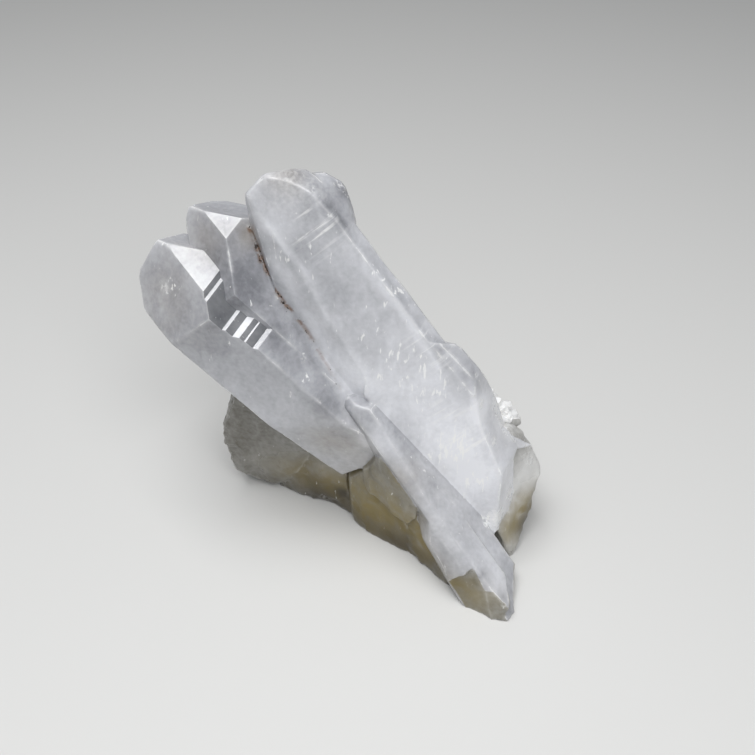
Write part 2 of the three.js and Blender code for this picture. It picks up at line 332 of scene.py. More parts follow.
@dataclass
class FacetNet:
    """Fine triangles over the flat facets of a solid, closer together at its edges.

    Lengths are millimetres. Clearances are the shares of a step or row that stay free round a
    point, but the underside's is a length. Ridges are (point, direction out, turn) along the
    edges that stand out.
    """

    edge_step: float = 0.36
    soft_step: float = 0.8
    face_step: float = 0.85
    near_row: float = 0.26
    near_clear: float = 0.8
    far_row: float = 0.62
    far_clear: float = 0.85
    grid_clear: float = 0.9
    soft_clear: float = 0.6
    same_cell: float = 0.75
    sharp_turn: float = 7.0
    flat_turn: float = 0.5
    same_point: float = 0.002
    sliver: float = 0.05
    sliver_side: float = 0.3
    sliver_rounds: int = 3
    underside_step: float = 4.0
    underside_clear: float = 1.5
    sugar: Zone = Zone((27.5, -3.0, 31.5), 7.5)
    sugar_area: float = 4.0
    back_start: float = 5.0
    shoulder_level: float = 62.0
    root_level: float = 20.0
    root_end: float = 2.0
    points: list[Array] = field(default_factory=list)
    triangles: list[tuple[int, int, int]] = field(default_factory=list)
    owner: list[int] = field(default_factory=list)
    facets: list[Facet] = field(default_factory=list)
    ridges: list[tuple[Array, Array, float]] = field(default_factory=list)

    NO_HABIT = -1
    DOWNWARD = -0.999
    STEEP = 0.9
    SAME_PLACE = 1e-5
    LINE_GAP = math.sqrt(0.75)

    def build(self, node: Thing) -> None:
        """Cover a solid with fine triangles.

        Args:
            node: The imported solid, which stays as it is.
        """
        solid = self._flat_faces(node)
        along = self._split_edges(solid)
        self.facets = [self._facet(face, along) for face in solid.faces]
        solid.free()
        for index, facet in enumerate(self.facets):
            self._fill(index, facet)

    def ridge_distance(self, places: Array, least_turn: float) -> Array:
        """Measure the distance from each place to the nearest ridge.

        Args:
            places: Places, one row each.
            least_turn: Turn in degrees below which a ridge doesn't count.

        Returns:
            Distances in millimetres.
        """
        kept = [point for point, _, turn in self.ridges if turn >= least_turn]
        tree = KDTree(len(kept))
        for k, point in enumerate(kept):
            tree.insert(point, k)
        tree.balance()
        return np.array([tree.find(place)[2] for place in places])

    def _flat_faces(self, node: Thing) -> bmesh.types.BMesh:
        """Join the solid's triangles into whole flat facets.

        Args:
            node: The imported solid.

        Returns:
            The facets, in millimetres.
        """
        solid = bmesh.new()
        solid.from_mesh(node.data)
        bmesh.ops.scale(solid, vec=(1.0 / MM,) * 3, verts=solid.verts)
        bmesh.ops.remove_doubles(solid, verts=solid.verts, dist=self.same_point)
        bmesh.ops.dissolve_degenerate(solid, edges=solid.edges, dist=self.same_point)
        limit = math.radians(self.flat_turn)
        bmesh.ops.dissolve_limit(solid, angle_limit=limit, verts=solid.verts, edges=solid.edges)
        for _ in range(self.sliver_rounds):
            self._join_slivers(solid)
        solid.verts.index_update()
        solid.edges.index_update()
        return solid

    def _join_slivers(self, solid: bmesh.types.BMesh) -> None:
        """Join each facet that is only a sliver to the facet that it lies flattest against.

        Args:
            solid: The solid's flat facets.
        """
        least = self.sliver / 2
        thin = [face for face in solid.faces if face.calc_area() < least * face.calc_perimeter()]
        for face in thin:
            if face.is_valid:
                longest = max(edge.calc_length() for edge in face.edges)
                sides = [e for e in face.edges if e.calc_length() > self.sliver_side * longest]
                flattest = min(sides, key=lambda e: abs(e.calc_face_angle_signed(0.0)))
                if len(flattest.link_faces) == 2:
                    bmesh.utils.face_join(list(flattest.link_faces))
        solid.normal_update()

    def _split_edges(self, solid: bmesh.types.BMesh) -> dict[int, list[int]]:
        """Place shared points along every edge.

        Args:
            solid: The solid's flat facets.

        Returns:
            For each edge's index, the indices of its points from its first vertex on.
        """
        self.points = [np.array(v.co) for v in solid.verts]
        along: dict[int, list[int]] = {}
        for edge in solid.edges:
            start, end = (np.array(v.co) for v in edge.verts)
            turn = math.degrees(edge.calc_face_angle_signed(0.0))
            step = self.edge_step if abs(turn) > self.sharp_turn else self.soft_step
            parts = max(1, round(float(np.linalg.norm(end - start)) / step))
            inner = start + (np.arange(1, parts) / parts)[:, None] * (end - start)
            first = len(self.points)
            self.points.extend(inner)
            ends = [v.index for v in edge.verts]
            along[edge.index] = [ends[0], *range(first, first + len(inner)), ends[1]]
            if turn > self.sharp_turn and len(edge.link_faces) == 2:
                outward = sum((np.array(f.normal) for f in edge.link_faces), np.zeros(3))
                outward /= max(float(np.linalg.norm(outward)), TINY)
                self.ridges.extend((point, outward, turn) for point in (start, *inner, end))
        return along

    def _facet(self, face: bmesh.types.BMFace, along: dict[int, list[int]]) -> Facet:
        """Describe one flat facet.

        Args:
            face: The facet in the solid.
            along: Points of every edge.

        Returns:
            The facet with its outline in turn order.
        """
        outline: list[int] = []
        sharp: list[bool] = []
        for loop in face.loops:
            row = along[loop.edge.index]
            if row[0] != loop.vert.index:
                row = row[::-1]
            outline.extend(row[:-1])
            turn = abs(math.degrees(loop.edge.calc_face_angle_signed(0.0)))
            sharp.extend([turn > self.sharp_turn] * (len(row) - 1))
        normal = np.array(face.normal)
        middle = np.array(face.calc_center_median())
        return Facet(outline, sharp, normal, *self._facing(normal, middle, face.calc_area()))

    def _facing(self, normal: Array, middle: Array, area: float) -> tuple[Facing, int]:
        """Tell what kind of face a facet is, and which family it belongs to.

        Args:
            normal: Unit vector out of the facet.
            middle: A point on the facet.
            area: Its area.

        Returns:
            The kind of face, and the family's place in HABITS or NO_HABIT.
        """
        if normal[2] < self.DOWNWARD and middle[2] < self.same_point:
            return Facing.UNDERSIDE, self.NO_HABIT
        away = np.linalg.norm(middle - np.array(self.sugar.place))
        if area < self.sugar_area and away < self.sugar.radius:
            return Facing.SUGARY, self.NO_HABIT
        front = middle[1] < self.back_start
        if front and middle[2] < self.root_level and middle[0] < self.root_end:
            return Facing.BROKEN, self.NO_HABIT
        for index, habit in enumerate(HABITS):
            if front and habit in BACK_HABITS:
                continue
            facing = habit.facing_of(normal, middle)
            if facing is not None:
                return facing, index
        if middle[2] > self.shoulder_level:
            return Facing.BEVEL, HABITS.index(MAIN_HABIT)
        return Facing.BROKEN, self.NO_HABIT

    def _fill(self, index: int, facet: Facet) -> None:
        """Add a facet's triangles.

        Args:
            index: The facet's number.
            facet: The facet.
        """
        rim = np.array([self.points[k] for k in facet.outline])
        middle = rim.mean(0)
        aside = (0.0, 0.0, 1.0) if abs(facet.normal[2]) < self.STEEP else (1.0, 0.0, 0.0)
        across = np.cross(facet.normal, aside)
        across /= np.linalg.norm(across)
        plane = np.array([across, np.cross(facet.normal, across)])
        flat = (rim - middle) @ plane.T
        inner = self._inner_points(flat, np.array(facet.sharp), facet.facing)
        sheet = [Vector(p) for p in np.vstack([flat, inner])]
        made = delaunay_2d_cdt(sheet, [], [list(range(len(flat)))], 1, self.SAME_PLACE)
        known = [*facet.outline, *range(len(self.points), len(self.points) + len(inner))]
        self.points.extend(middle + inner @ plane)
        numbers = []
        for place, origins in zip(made[0], made[3]):
            numbers.append(known[origins[0]] if origins else len(self.points))
            if not origins:
                self.points.append(middle + np.array(place) @ plane)
        self.triangles.extend(tuple(numbers[k] for k in corner) for corner in made[2])
        self.owner.extend([index] * len(made[2]))

    def _inner_points(self, flat: Array, sharp: Array, facing: Facing) -> Array:
        """Place points inside a facet: two rows along its sharp edges, and a grid within.

        Args:
            flat: The outline in the facet's plane, in turn order.
            sharp: Whether each stretch of the outline is a sharp edge.
            facing: The kind of face.

        Returns:
            The points, one row each.
        """
        ends = np.roll(flat, -1, axis=0)
        run = ends - flat
        length = np.maximum(np.linalg.norm(run, axis=1, keepdims=True), TINY)
        inward = np.stack([-run[:, 1], run[:, 0]], 1) / length
        centre = (flat + ends) / 2
        near = centre + self.near_row * inward
        far = centre + self.far_row * inward
        rows = [
            (near[sharp], self.near_row * self.near_clear),
            (far[sharp][::2], self.far_row * self.far_clear),
        ]
        step, clear = self.face_step, self.face_step * self.grid_clear
        if facing is Facing.UNDERSIDE:
            rows, step, clear = [], self.underside_step, self.underside_clear
        low, high = flat.min(0), flat.max(0)
        across = np.arange(low[0], high[0], step)
        up = np.arange(low[1], high[1], step * self.LINE_GAP)
        grid = np.stack(np.meshgrid(across, up), -1)
        grid[1::2, :, 0] += step / 2
        rows.append((grid.reshape(-1, 2), clear))
        kept = [np.zeros((0, 2))]
        for points, clear in rows:
            free = np.where(sharp, clear, clear * self.soft_clear)
            kept.append(self._inside(points, flat, run, free))
        joined = np.vstack(kept)
        if not len(joined):
            return joined
        cell = np.round(joined / (self.near_row * self.same_cell)).astype(np.int64)
        _, once = np.unique(cell, axis=0, return_index=True)
        return joined[np.sort(once)]

    @staticmethod
    def _inside(points: Array, flat: Array, run: Array, clear: Array) -> Array:
        """Keep the points that lie inside an outline and clear of it.

        Args:
            points: Points to test.
            flat: The outline.
            run: The step from each point of the outline to the next.
            clear: The distance to keep from each step.

        Returns:
            The points kept.
        """
        away = points[:, None, :] - flat
        square = np.maximum(np.linalg.norm(run, axis=1), TINY) ** 2
        share = limited((away * run).sum(2) / square)
        gap = np.linalg.norm(away - share[..., None] * run, axis=2)
        height = points[:, None, 1]
        below, end_below = flat[:, 1] <= height, (flat + run)[:, 1] <= height
        side = run[:, 0] * away[..., 1] - run[:, 1] * away[..., 0]
        rising, falling = below & ~end_below & (side > 0), ~below & end_below & (side < 0)
        winding = rising.sum(1) - falling.sum(1)
        return points[(winding != 0) & (gap >= clear).all(1)]


@dataclass(frozen=True)
class Wear:
    """How worn and broken the edges are, and how uneven each kind of face is.

    Lengths are millimetres and turns are degrees. A size is that of an unevenness, a span is the
    stretch of heights over which it sets in, a reach is how far from an edge the wear goes, and a
    swing is how much it varies. Balls cut the chips out: a ball is larger than its chip by the
    ratio, and the higher the rarity, the fewer chips are large.
    """

    soften_rounds: int = 10
    soften_share: float = 0.16
    soften_more: float = 0.3
    firmness: float = 1.6
    swell_size: float = 6.0
    swell_share: float = 0.4
    break_size: float = 4.2
    break_share: float = 0.8
    break_level: float = 0.5
    smooth_height: float = 0.08
    rough_span: float = 0.15
    bend_size: float = 9.0
    bend_height: float = 0.16
    bend_shift: float = 31.0
    bend_span: float = 0.03
    rounding: float = 0.05
    rounding_reach: float = 0.25
    rounding_size: float = 1.7
    rounding_swing: float = 0.8
    bruise_depth: float = 0.12
    bruise_reach: float = 1.6
    bruise_size: float = 1.2
    bruise_swing: float = 0.1
    keen_turn: float = 24.0
    mark_reach: float = 0.3
    chip_share: float = 0.012
    bruise_share: float = 0.06
    nibble_share: float = 0.09
    chip_turn: float = 60.0
    chip_level: float = 0.5
    crisp_limit: float = 0.2
    sugar_limit: float = 0.4
    chip_small: float = 0.35
    chip_large: float = 1.2
    chip_rarity: int = 4
    chip_shallow: float = 0.12
    chip_deeper: float = 0.18
    bruise_growth: float = 0.8
    ball_ratio: float = 1.4
    ball_scatter: float = 0.35
    rim_width: float = 0.15
    rim_fade: float = 0.2
    ground_level: float = 0.001
    seed: int = 11

    BREAK_SHAPE = (1.0, 1.0, 0.7)
    BEND_RANGE = (0.2, 1.0)
    CHANCE_RANGE = (0.2, 1.5)
    SOFTNESS = {Facing.SUGARY: 0.0, Facing.UNDERSIDE: 0.0, Facing.TIP: 0.6}
    HEIGHTS = {
        Facing.PRISM: 0.04, Facing.WINDOW: 0.02, Facing.TIP: 0.01, Facing.BEVEL: 0.06,
        Facing.BROKEN: 0.4,
    }


@dataclass
class Skin:
    """Points and triangles of the surface before its wear, and what is known of them.

    There is a kind of face for each triangle. Each point has a firmness, which is how much it
    keeps its place, and a distance to the nearest keen edge.
    """

    points: Array
    triangles: Array
    facing: Array
    firm: Array
    keen: Array

    def near_edge(self, reach: float) -> Array:
        """Work out how near each point is to a keen edge, from 1 on it to nearly 0 far off."""
        return np.exp(-((self.keen / reach) ** 2))

    def per_point(self, values: dict[Facing, float], other: float) -> Array:
        """Average a value of the kinds of face over the triangles round each point.

        Args:
            values: The value of each kind of face.
            other: The value of each kind that isn't named.

        Returns:
            A value for each point.
        """
        table = np.array([values.get(kind, other) for kind in Facing])
        corners = self.triangles.ravel()
        count = np.bincount(corners, minlength=len(self.points))
        total = np.bincount(corners, np.repeat(table[self.facing], 3), len(self.points))
        return total / np.maximum(count, 1)

    def normals(self, points: Array) -> Array:
        """Work out the direction out of the surface at each point.

        Args:
            points: Where the points now are.

        Returns:
            A unit vector for each point.
        """
        a, b, c = (points[self.triangles[:, k]] for k in range(3))
        faces = np.cross(b - a, c - a)
        total = np.zeros_like(points)
        for k in range(3):
            np.add.at(total, self.triangles[:, k], faces)
        return total / np.maximum(np.linalg.norm(total, axis=1), TINY)[:, None]


def placed(data: bpy.types.ID, place: Triple = (0, 0, 0), target: Triple | None = None) -> Thing:
    """Put a mesh, a lamp or the camera in the scene.

    Args:
        data: What the new object shows, whose name it takes.
        place: Where it stands, in millimetres.
        target: What it points at.

    Returns:
        The object.
    """
    thing = bpy.data.objects.new(data.name, data)
    thing.location = Vector(place) * MM
    if target:
        way = Vector(target) - Vector(place)
        thing.rotation_euler = way.to_track_quat("-Z", "Y").to_euler()
    bpy.context.scene.collection.objects.link(thing)
    return thing


@dataclass
class ClusterSurface:
    """The whole visible surface of the grown-together cluster.

    Crisp zones keep their edges and calm ones show no white edge. Frost, stain, shade, cloud and
    sparkle zones, and those of lines, are marks that the finishes read. The shade zones and the
    line along the root's foot are painted shade, the cloud zones are milkiness with painted light
    and shade, and one frost zone is a painted glint.
    """

    net: FacetNet = field(default_factory=FacetNet)
    wear: Wear = Wear()
    crisp: Zones = zones(
        (-26.5, -1.5, 63, 5.5), (-20.5, -6.5, 58, 5.5, 1.2), (-17, -8.2, 54, 4.5, 1.2),
        (-21.5, 2.1, 70.6, 4),
    )
    soft: Zones = zones(
        (6, -13, 34, 6), (13, -17, 24, 6), (20, -20, 15, 7), (22, -10.5, 43, 6), (8, -10, 12, 9),
        (-18, 4, 12, 12), (32, -9, 16, 9), (-12, -10, 42, 8), (-6, -6, 60, 7), (-31, -6.2, 51.5, 5),
    )
    bruised: Zones = zones(
        (-9, -2, 82, 7), (-14.5, -3, 78, 4.5, 0.6), (25.5, -8, 40.5, 3.5, 0.6),
    )
    calm: Zones = zones(
        (6, -12, 36, 6, 0.6), (11, -15.5, 28, 7), (17, -19.5, 20, 7), (22.5, -23, 13, 6, 0.9),
        (-9, -3, 80, 6, 0.7), (-2, -4.2, 75.5, 6, 0.8), (-9, -8.5, 46, 9, 0.75),
        (0.2, -10.6, 38.2, 4.5), (-31, -6, 52, 6), (-22.8, -2.5, 62, 5, 0.85),
        (24, -11, 36, 6, 0.75),
    )
    nibbled: Zones = zones(
        (-36, 0, 58, 10), (-28, -6, 48, 7), (-27, 5, 71, 5), (0, 0, 78, 6, 0.6),
        (36, -4, 21, 6, 0.8), (-25, 4, 10, 9, 0.8), (22.5, -8.5, 43, 5, 0.6),
        (-13, -3.5, 70, 5, 0.6),
    )
    # Frosting, with one painted glint: the small zone at (24.3, -10.5, 39.6) whitens a facet that
    # catches the light.
    glint_and_frost_zones: Zones = zones(
        (29.5, -4, 32, 4.2, 1.4), (-32.8, -0.9, 58.9, 0.9, 0.8), (24.3, -10.5, 39.6, 0.8),
        (27, -11.7, 31.1, 0.9, 0.8), (32.2, -9.8, 14, 1.3, 0.8), (27.5, -5, 35.5, 3, 1.2),
        (28.5, -14.9, 14, 2, 1.3), (31.5, -10.5, 16.5, 1.6),
    )
    stained: Zones = zones(
        (8, -11, 12, 10, 0.95), (14.5, -17, 7, 6, 0.9), (2.5, -6, 5.5, 6.5, 0.9),
        (11, -12.5, 3.5, 5, 0.7), (-6, 1, 7, 6.5, 0.8), (-13, 3.5, 8, 6, 0.35),
        (33.5, -9.5, 9, 5, 0.4), (32, -12, 6.5, 4, 0.55), (36.5, -6.5, 9, 4.5, 0.6),
        (19, -23.5, 5, 4, 0.5), (22.5, -26, 4, 4, 0.45), (26, -27.5, 3.5, 5, 0.25),
        (9.5, -16.5, 26.5, 3.5, 0.4), (-10, -2.2, 82.4, 3.6, 0.45), (6, 25, 7, 9, 0.6),
        (-16, 19, 10, 8, 0.5), (24, 12, 13, 8, 0.5), (-17, 1.5, 68.5, 2.5, 0.6),
        (-33, -2, 57, 8, 0.3), (-26, 1.5, 67.5, 5, 0.35), (-3, -9, 29, 6, 0.6),
    )
    # Painted shade: darkens the root's feet near the floor and a crevice, where shade falls.
    shaded: Zones = zones(
        (36, -8.5, 4.5, 3.2), (36.9, -6.2, 9, 2.4, 0.45), (-7, 1.7, 4, 5, 0.6),
        (-2, -0.7, 6, 1.8, 0.9), (9.5, -11, 4, 5, 0.4), (1.5, -5.5, 5, 4, 0.2),
    )
    # Milkiness mixed with painted light and shade: some zones darken places that lie in shade, such
    # as the wedge between the front and main crystals and the twin's side along the seam, and
    # others lighten or darken facets for how the light falls on them.
    clouds_and_painted_light: Zones = zones(
        (18.8, -11.7, 32, 9.5, 0.54), (24, -13, 23, 6, 0.3), (13.8, -10, 44, 8, 0.16),
        (9, -8.5, 55, 7, 0.12), (0.5, -7.5, 44.5, 6, 0.4), (24.2, -10.8, 38.8, 2.6, 0.85),
        (14.4, -10.6, 42.6, 2.6, -0.14), (-21.5, 2.1, 70.6, 3, -0.16), (26.8, -28, 4.8, 2.4, -0.14),
        (28.7, -28.2, 5, 1.6, -0.22), (0.2, 0.2, 78.4, 1.8, -0.4), (-18.6, -7, 54.9, 2.6, 0.36),
        (-22.6, -7.3, 56.3, 1.8, -0.3), (-13.2, -8.2, 52.2, 3, -0.16), (3.5, -8.6, 49.5, 3, -0.14),
        (-23, 3.7, 16.5, 5, -0.08), (-1.1, -4.9, 74.3, 1.6, -0.22), (-23, -8.8, 54, 4, -0.13),
        (28.3, -9.8, 31.8, 4, -0.4), (29.5, -26, 6.5, 4, 0.3), (24.8, -25.2, 8.4, 2.6, -0.45),
        (-8.5, -4.8, 67.5, 4.5, -0.22), (-8, -1.4, 82.4, 3.2, -0.35), (21.5, -10, 46.5, 4.5, -0.31),
        (26.3, -9.4, 35.9, 2.2, -0.24), (16.6, -8.9, 51.6, 2.4, -0.2), (-18, -2, 65, 7, -0.3),
        (-17, -5.5, 59.5, 6, -0.3), (18, -22, 17, 6, 0.16), (13, -13.5, 28.5, 4.5, -0.12),
        (-13, -9.3, 51.3, 5, -0.1), (-25.6, 3.2, 69.3, 5, -0.1), (-32, -2, 57, 8, -0.32),
        (-2, -9.5, 29.5, 7, -0.18), (-20, -9, 48, 8, -0.12), (5.3, -11.8, 37.8, 4.5, -0.2),
        (10.5, -14, 31.5, 4, -0.16), (25.5, -21.5, 11, 6, 0.36), (-1.1, -1.7, 77.2, 5, -0.22),
        (-2.5, -7, 60, 7, -0.2), (-12.4, -4.2, 72.1, 3, 0.15), (-7.4, -5.5, 65.5, 3, 0.2),
        (-3.7, -7, 56, 3.5, 0.15), (-4.9, -10.4, 42.1, 3.6, -0.42), (-9.3, -8.8, 47.6, 3.2, -0.3),
        (-12, -6.6, 53.5, 3, -0.18), (-33.5, -2.8, 55.8, 3.5, 0.2), (4.1, -12.8, 31.4, 3, 0.35),
        (6.8, -10.6, 38.3, 2.6, 0.3), (16.4, -10.4, 45.2, 3.5, 0.12), (-4.7, -4.4, 76.5, 3, -0.16),
        (27.2, -24.3, 8.7, 3, 0.14), (14.2, -19.3, 18.4, 4, 0.12), (-2.4, -10.7, 38.9, 2.4, -0.35),
        (3.8, -11.4, 30, 2.6, 0.3), (19.9, -12, 35.7, 3, -0.12), (23, -11.4, 39.5, 3, -0.15),
        (10.3, -17.3, 26.6, 3, -0.14), (-23.5, -0.6, 64.9, 2.4, -0.22), (-8.5, 13.5, 49, 6, -0.25),
        (3, 12, 30, 8, 0.32), (-21, 15, 39, 5, -0.25), (-9, 14, 29, 6, 0.32),
        (-0.5, 24.5, 28, 4, -0.2), (4, 15, 19, 6, 0.3), (14, 6, 44, 9, 0.25), (-16, 9, 55, 7, 0.2),
    )
    pale_root: Zones = zones(
        (33, -7.5, 22, 7, 0.5), (31.7, -7.3, 27.4, 4, -0.45), (30.8, -11.8, 9.6, 2.6, 0.3),
        (34.3, -9.3, 6.8, 2.6, -0.25), (34.5, -8.3, 12, 5, 0.24), (30, -4, 30, 6, 0.34),
        (6, 17, 14, 20, 0.24), (14, 24, 18, 6, 0.2), (-18, 16, 20, 5, 0.2),
        (31.5, -11, 11, 6, 0.55), (35.5, -7.5, 9.5, 3.5, 0.2), (31.5, -12.5, 4, 4.5, 0.5),
        (36.5, -5, 16.5, 5.5, 0.7), (29.5, -5.5, 32, 5, 0.5), (24.5, -27, 5.5, 6, 0.16),
        (7, -11, 17, 7, 0.08), (15, -18.8, 12.8, 3.8, 0.28), (-5.3, 0.4, 11.5, 3.4, 0.42),
        (-15, 3, 9.5, 3.5, 0.14), (-19, 4.2, 12, 5, 0.1),
    )
    sparkling: Zones = zones(
        (9.2, -9.3, 48.9, 6), (13.8, -10.5, 42.9, 5), (19.5, -12.5, 31, 6.5, 1.1),
        (5, -8.1, 54.8, 3.5, 0.7), (-32.2, -1.4, 58.9, 1.8, 1.2), (8.5, -6.6, 61.1, 2.6, 0.9),
        (-9.5, -8, 45, 2.5, 0.9), (27.5, -15, 13.5, 2.2, 1.3), (-7.4, -5.5, 65.5, 2.5),
        (-2, 13, 40, 5), (-14, 15, 33, 4, 0.9), (2, 20, 24, 3), (10, 5, 52, 7),
        (-14, 8.5, 60, 4, 0.9), (-12.6, -4.4, 69.6, 2, 1.1), (-11.4, -4.6, 66.8, 2, 1.2),
        (-8.8, -5.2, 62, 2, 1.1), (5, -6.2, 66, 1.8, 1.2), (23.6, -13.6, 22.5, 4, 1.1),
    )
    lined: Zones = zones(
        (-5.6, -4.7, 73.4, 3.8, 1.25), (14.6, -9, 51.8, 4, 0.7), (22, -12.4, 31.5, 4.5, 0.7),
        (18.5, -11.2, 38.5, 4, 0.5), (-5, 14, 43, 5, 0.8), (-16, 16, 36, 4, 0.7),
        (2, 5, 64, 5, 0.8),
    )
    # Painted shade: darker along the line where the root meets the floor.
    ground_shade_line: Seam = Seam(3.6, (
        (-24, 4, 5, 0.1), (-14, 5.6, 0.2, 0.45), (-1.8, -1, 0.9, 0.6), (1.5, -5, 2.2, 0.5),
        (9.8, -11.1, 1.3, 0.6), (16.5, -20, 3, 0.7), (19, -23.5, 4, 0.3),
    ))
    ridge_light: tuple[Seam, ...] = (
        Seam(0.7, (
            (-14.9, -3.3, 75.5, 0.2), (-12.4, -4.2, 72.1, 0.2), (-7.4, -5.5, 65.5, 0.22),
            (-3.7, -7, 56, 0.1),
        )),
        Seam(0.7, (
            (-5, -3.6, 77.5, 0.3), (1.5, -5, 68.5, 0.3), (9.1, -7.9, 59, 0.2),
            (16.2, -10, 48, 0.25),
        )),
        Seam(0.9, (
            (-3.4, -3.4, 77.3, -0.25), (3, -4.8, 68.3, -0.25), (10.4, -7.5, 58.6, -0.15),
            (17.6, -9.6, 47.6, -0.2),
        )),
        Seam(1.9, (
            (-12.2, -4, 67.6, 0.25), (-11, -4.3, 64.5, 0.5), (-9.8, -4.6, 60.9, 0.35),
            (-8.5, -5, 57.7, 0.25), (-6.5, -5.6, 53.8, 0.27), (-4.9, -6, 48.6, 0.3),
            (-3.2, -7.2, 44.4, 0),
        )),
        Seam(1.7, (
            (-13.8, -3.2, 65.8, 0.15), (-12.3, -3.5, 61.2, 0.12), (-10, -4.6, 56, -0.1),
            (-8.2, -5.3, 51.5, -0.28), (-5.6, -6.9, 47, -0.36), (-2.6, -8.4, 43, -0.2),
        )),
        Seam(2.2, (
            (0.5, -11.2, 38.2, 0.14), (2.9, -12.1, 37, 0.22), (4.7, -13, 35.4, 0.28),
            (7.1, -14.4, 32.9, 0.32), (9.3, -15.9, 29.9, 0.3), (11.6, -17.4, 26.8, 0.2),
            (14.1, -19.2, 23.2, 0.08),
        )),
    )
    smudged: Seam = Seam(1.3, (
        (-33.5, -3.5, 52.5, -0.1), (-30, -5, 51, -0.25), (-26.5, -6.2, 50.5, -0.2),
        (-23.5, -7.5, 50, -0.1),
    ))
    seam: Seam = Seam(0.62, (
        (-18.7, 6, 69.5, 0.7), (-16.7, 1.4, 69, 1), (-15.1, -0.3, 64.3, 1.1),
        (-13.4, -2.4, 61.1, 1), (-11.4, -3.6, 57.4, 1.1), (-8, -4.9, 53, 0.7),
        (-4.6, -6.4, 46.7, 0.5), (-0.8, -9.2, 39.4, 0.35),
    ))

    LAYER_KINDS = {1: ("FLOAT", "value"), 2: ("FLOAT_VECTOR", "vector")}

    def build(self, node: Thing) -> Thing:
        """Make the surface as one mesh object.

        Args:
            node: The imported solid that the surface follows.

        Returns:
            The new object.
        """
        self.net.build(node)
        points = np.array(self.net.points)
        facing = np.array([f.facing.value for f in self.net.facets])[self.net.owner]
        firm = limited(most_of(self.crisp, points) * self.wear.firmness)
        keen = self.net.ridge_distance(points, self.wear.keen_turn)
        skin = Skin(points, np.array(self.net.triangles), facing, firm, keen)
        moved, chipped = self._chip(self._undulate(skin, self._soften(skin)))
        grounded = points[:, 2] < self.wear.ground_level
        moved[:, 2] = np.where(grounded, 0.0, np.maximum(moved[:, 2], 0.0))
        return self._mesh(moved, skin, chipped)

    @staticmethod
    def dress(thing: Thing) -> None:
        """Give the surface its finishes, in the order that its triangles name them.

        Args:
            thing: The surface.
        """
        shared = (GrowthLines(), Veils(), Grime())
        for finish in FINISHES:
            thing.data.materials.append(finish.material(*shared))

    def _soften(self, skin: Skin) -> Array:
        """Round the form, moving each point towards the middle of its neighbours.

        Args:
            skin: The surface before its wear.

        Returns:
            The moved points.
        """
        share = self.wear.soften_share + self.wear.soften_more * most_of(self.soft, skin.points)
        share *= skin.per_point(self.wear.SOFTNESS, 1.0) * (1.0 - skin.firm)
        starts = skin.triangles.ravel()
        ends = skin.triangles[:, [1, 2, 0]].ravel()
        count = np.maximum(np.bincount(starts, minlength=len(skin.points)), 1)
        moved = skin.points.copy()
        for _ in range(self.wear.soften_rounds):
            for k in range(3):
                middle = np.bincount(starts, moved[ends, k], len(moved)) / count
                moved[:, k] += (middle - moved[:, k]) * share
        return moved

    def _undulate(self, skin: Skin, points: Array) -> Array:
        """Give each kind of face its own slight unevenness, and wear the edges.

        Args:
            skin: The surface before its wear.
            points: Where its points now are.

        Returns:
            The moved points.
        """
        wear = self.wear
        height = skin.per_point(wear.HEIGHTS, 0.0)
        grain = Grain(wear.seed)
        swell = grain.layered(points, wear.swell_size, 3)
        breaks = grain.layered(points * wear.BREAK_SHAPE, wear.break_size, 3, ridged=True)
        breaks -= wear.break_level
        rough = limited((height - wear.smooth_height) / wear.rough_span)
        rise = (swell + rough * (wear.break_share * breaks - wear.swell_share * swell)) * height
        bend = wear.bend_height * grain.layered(points + wear.bend_shift, wear.bend_size, 2)
        rise += bend * np.clip(height / wear.bend_span, *wear.BEND_RANGE)
        worn = wear.rounding * skin.near_edge(wear.rounding_reach) * (height > 0.0)
        worn *= 1.0 + wear.rounding_swing * grain.value(points, wear.rounding_size)
        bruise = most_of(self.bruised, points) * skin.near_edge(wear.bruise_reach)
        dents = wear.bruise_swing * grain.layered(points, wear.bruise_size, 2)
        worn += bruise * (wear.bruise_depth + dents)
        return points + skin.normals(points) * ((rise - worn) * (1.0 - skin.firm))[:, None]

    def _chip(self, points: Array) -> tuple[Array, Array]:
        """Break shell-shaped chips out of the edges.

        Args:
            points: Points of the surface.

        Returns:
            The moved points, and how much each lies in a chip.
        """
        wear = self.wear
        dice = np.random.default_rng(wear.seed)
        places, outward, turn = (np.array(column) for column in zip(*self.net.ridges))
        bruise = most_of(self.bruised, places)
        chance = wear.chip_share * np.clip(turn / wear.chip_turn, *wear.CHANCE_RANGE)
        chance += wear.bruise_share * bruise**2
        chance += wear.nibble_share * most_of(self.nibbled, places)
        chance[places[:, 2] < wear.chip_level] = 0.0
        chance *= most_of(self.crisp, places) < wear.crisp_limit
        chance *= self.net.sugar.share(places) < wear.sugar_limit
        picked = np.nonzero(dice.random(len(places)) < chance)[0]
        chipped = np.zeros(len(points))
        moved = points.copy()
        for k in picked:
            radius = wear.chip_small
            radius += (wear.chip_large - wear.chip_small) * dice.random() ** wear.chip_rarity
            radius *= 1.0 + wear.bruise_growth * bruise[k]
            depth = radius * (wear.chip_shallow + wear.chip_deeper * dice.random())
            ball = radius * wear.ball_ratio
            way = outward[k] + dice.normal(0.0, wear.ball_scatter, 3)
            way /= np.linalg.norm(way)
            centre = places[k] + way * (ball - depth)
            away = moved - centre
            gap = np.linalg.norm(away, axis=1)
            inside = gap < ball
            moved[inside] = centre + away[inside] / gap[inside, None] * ball
            rim = limited((ball + wear.rim_width - gap) / wear.rim_fade)
            chipped = np.maximum(chipped, rim)
        LOG.info("chips on the edges: %d", len(picked))
        return moved, chipped

